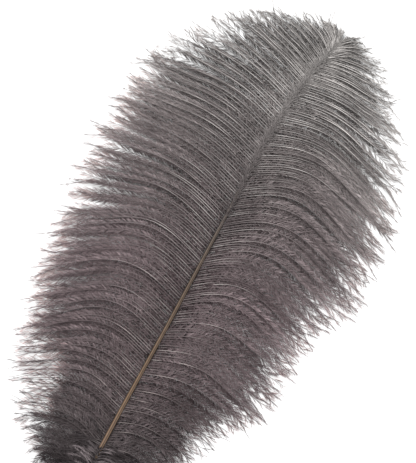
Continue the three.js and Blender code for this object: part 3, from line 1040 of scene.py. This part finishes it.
# Colours along the shaft, from the quill's end (0) to the tip (1).
SOFT_COLOURS = [
    (0.12, (0.05, 0.042, 0.044)), (0.2, (0.079, 0.065, 0.067)), (0.33, (0.125, 0.097, 0.101)),
    (0.5, (0.15, 0.116, 0.121)), (0.78, (0.172, 0.151, 0.149)), (1.0, (0.215, 0.204, 0.196)),
]
DEEP_COLOURS = [
    (0.12, (0.055, 0.043, 0.045)), (0.33, (0.14, 0.098, 0.103)), (0.5, (0.168, 0.118, 0.124)),
    (0.78, (0.18, 0.149, 0.147)), (1.0, (0.222, 0.203, 0.194)),
]
STEM_COLOURS = [
    (0.12, (0.14, 0.125, 0.122)), (0.3, (0.42, 0.36, 0.35)), (0.65, (0.49, 0.46, 0.445)),
    (1.0, (0.64, 0.61, 0.59)),
]
END_COLOURS = [
    (0.12, (0.3, 0.21, 0.205)), (0.25, (0.48, 0.34, 0.33)), (0.55, (0.46, 0.34, 0.33)),
    (0.8, (0.44, 0.37, 0.355)), (1.0, (0.48, 0.45, 0.43)),
]
# The dark stop at 0.13 is painted shade where the down lies over the foot of the shaft.
SHAFT_COLOURS = [
    (0.0, (0.2, 0.148, 0.095)), (0.1, (0.2, 0.14, 0.09)), (0.13, (0.09, 0.064, 0.045)),
    (0.18, (0.175, 0.116, 0.08)), (0.3, (0.15, 0.096, 0.06)),
    (0.5, (0.1, 0.069, 0.049)), (0.65, (0.085, 0.067, 0.056)), (1.0, (0.1, 0.095, 0.09)),
]


def barb_material():
    """Matt keratin: deep where its tone is dark, which holds painted shade as well as the barbs' own
    tone, and paler on the stems, from their own colour and painted highlight, and at the ends.
    """
    material, tree, shader = node_tree("barbs")
    up_vane = attribute(tree, "up_vane")
    soft = ramp(tree, SOFT_COLOURS, up_vane)
    stems = ramp(tree, STEM_COLOURS, up_vane)
    deep = ramp(tree, DEEP_COLOURS, up_vane)
    ends = ramp(tree, END_COLOURS, up_vane)
    colour = mixed(tree, deep, soft, attribute(tree, "tone"))
    colour = mixed(tree, colour, ends, attribute(tree, "haze"))
    colour = mixed(tree, colour, stems, attribute(tree, "stem"))
    colour = scaled(tree, colour, attribute(tree, "tone"))
    colour = scaled(tree, colour, noise(tree, 60, 0.86, 1.14))
    tree.links.new(colour, shader.inputs["Base Color"])
    shader.inputs["Roughness"].default_value = 0.7
    shader.inputs["Specular IOR Level"].default_value = 0.15
    return material


def shaft_material():
    """Dull tan keratin with fine streaks along it, painted shade on its edges and underside, and a
    painted highlight beside its middle.
    """
    material, tree, shader = node_tree("shaft")
    tan = ramp(tree, SHAFT_COLOURS, attribute(tree, "up_vane"))
    colour = scaled(tree, tan, attribute(tree, "tone"))
    colour = scaled(tree, colour, noise(tree, 350, 0.85, 1.15))
    tree.links.new(colour, shader.inputs["Base Color"])
    shader.inputs["Roughness"].default_value = 0.5
    shader.inputs["Specular IOR Level"].default_value = 0.25
    return material


def floor_material():
    material, _, shader = node_tree("floor_white")
    shader.inputs["Base Color"].default_value = (0.9, 0.9, 0.9, 1)
    shader.inputs["Roughness"].default_value = 0.9
    return material


# -------------------- the pieces
BARBS = barb_material()
SHAFT = shaft_material()
PIECE_BREAKS = [VANE_START, 120.0, 190.0, 250.0, SHAFT_LENGTH + 1]


def add_barbed_piece(name, barbs):
    strands = Strands()
    add_rami(strands, barbs)
    add_barbules(strands, barbs)
    add_mesh(name, strands, BARBS)


for side_name, side in SIDES.items():
    barbs = make_barbs(side)
    for part, (low_y, high_y) in enumerate(zip(PIECE_BREAKS, PIECE_BREAKS[1:]), 1):
        chosen = (barbs["root_y"] >= low_y) & (barbs["root_y"] < high_y)
        add_barbed_piece(f"{side_name}_vane_{part}", pick(barbs, chosen))

add_barbed_piece("base_down", make_down())
add_barbed_piece("tip_fan", make_tip())

strands = Strands()
add_fuzz(strands)
add_mesh("tip_fuzz", strands, BARBS)

strands = Strands()
add_shaft(strands)
add_mesh("shaft", strands, SHAFT)

# -------------------- floor, camera, lights
FLOOR_HALF = 3.0  # metres
PHOTO_TURN = math.radians(30.39)  # the photograph is turned by this about the line of sight
PHOTO_HEIGHT = 250.0  # what the photograph's height shows
PHOTO_MIDDLE = (-9.45, 192.5)
LENS, SENSOR = 85.0, 36.0
VANE_HEIGHT = 8.0
WORLD_LIGHT = 0.6


def add_floor():
    corners = [(-1, -1), (1, -1), (1, 1), (-1, 1)]
    mesh = bpy.data.meshes.new("floor")
    mesh.from_pydata([(x * FLOOR_HALF, y * FLOOR_HALF, 0) for x, y in corners], [], [(0, 1, 2, 3)])
    mesh.materials.append(floor_material())
    floor = new_object("floor", mesh)


def add_camera():
    """Straight above the feather, as the photograph shows it."""
    data = bpy.data.cameras.new("camera")
    data.lens = LENS
    data.sensor_width = SENSOR
    camera = new_object("camera", data)
    distance = LENS / SENSOR * PHOTO_HEIGHT
    camera.location = (
        (PHOTO_MIDDLE[0] - BOX_MIDDLE[0]) * MM,
        (PHOTO_MIDDLE[1] - BOX_MIDDLE[1]) * MM,
        (distance + VANE_HEIGHT) * MM,
    )
    camera.rotation_euler = (0, 0, PHOTO_TURN)
    bpy.context.scene.camera = camera


def add_light(name, size, energy, azimuth, elevation, away):
    """A square soft light, in metres; azimuth is clockwise from the picture's top."""
    data = bpy.data.lights.new(name, "AREA")
    data.size = size
    data.energy = energy
    light = new_object(name, data)
    turn = PHOTO_TURN - math.radians(azimuth)
    lift = math.radians(elevation)
    light.location = (
        -math.sin(turn) * math.cos(lift) * away,
        math.cos(turn) * math.cos(lift) * away,
        math.sin(lift) * away,
    )
    light.rotation_mode = "QUATERNION"
    # It shines along its own -Z, which has to point back at the feather.
    light.rotation_quaternion = (-light.location.normalized()).to_track_quat("-Z", "Y")


def add_world():
    world = bpy.data.worlds.new("studio")
    world.use_nodes = True
    background = world.node_tree.nodes["Background"]
    background.inputs["Color"].default_value = (1, 1, 1, 1)
    background.inputs["Strength"].default_value = WORLD_LIGHT
    bpy.context.scene.world = world


add_floor()
add_camera()
add_light("key", size=0.7, energy=18, azimuth=-25, elevation=48, away=1.3)
add_light("fill", size=1.4, energy=8, azimuth=150, elevation=60, away=1.6)
add_world()
bpy.context.scene.view_settings.view_transform = "Standard"
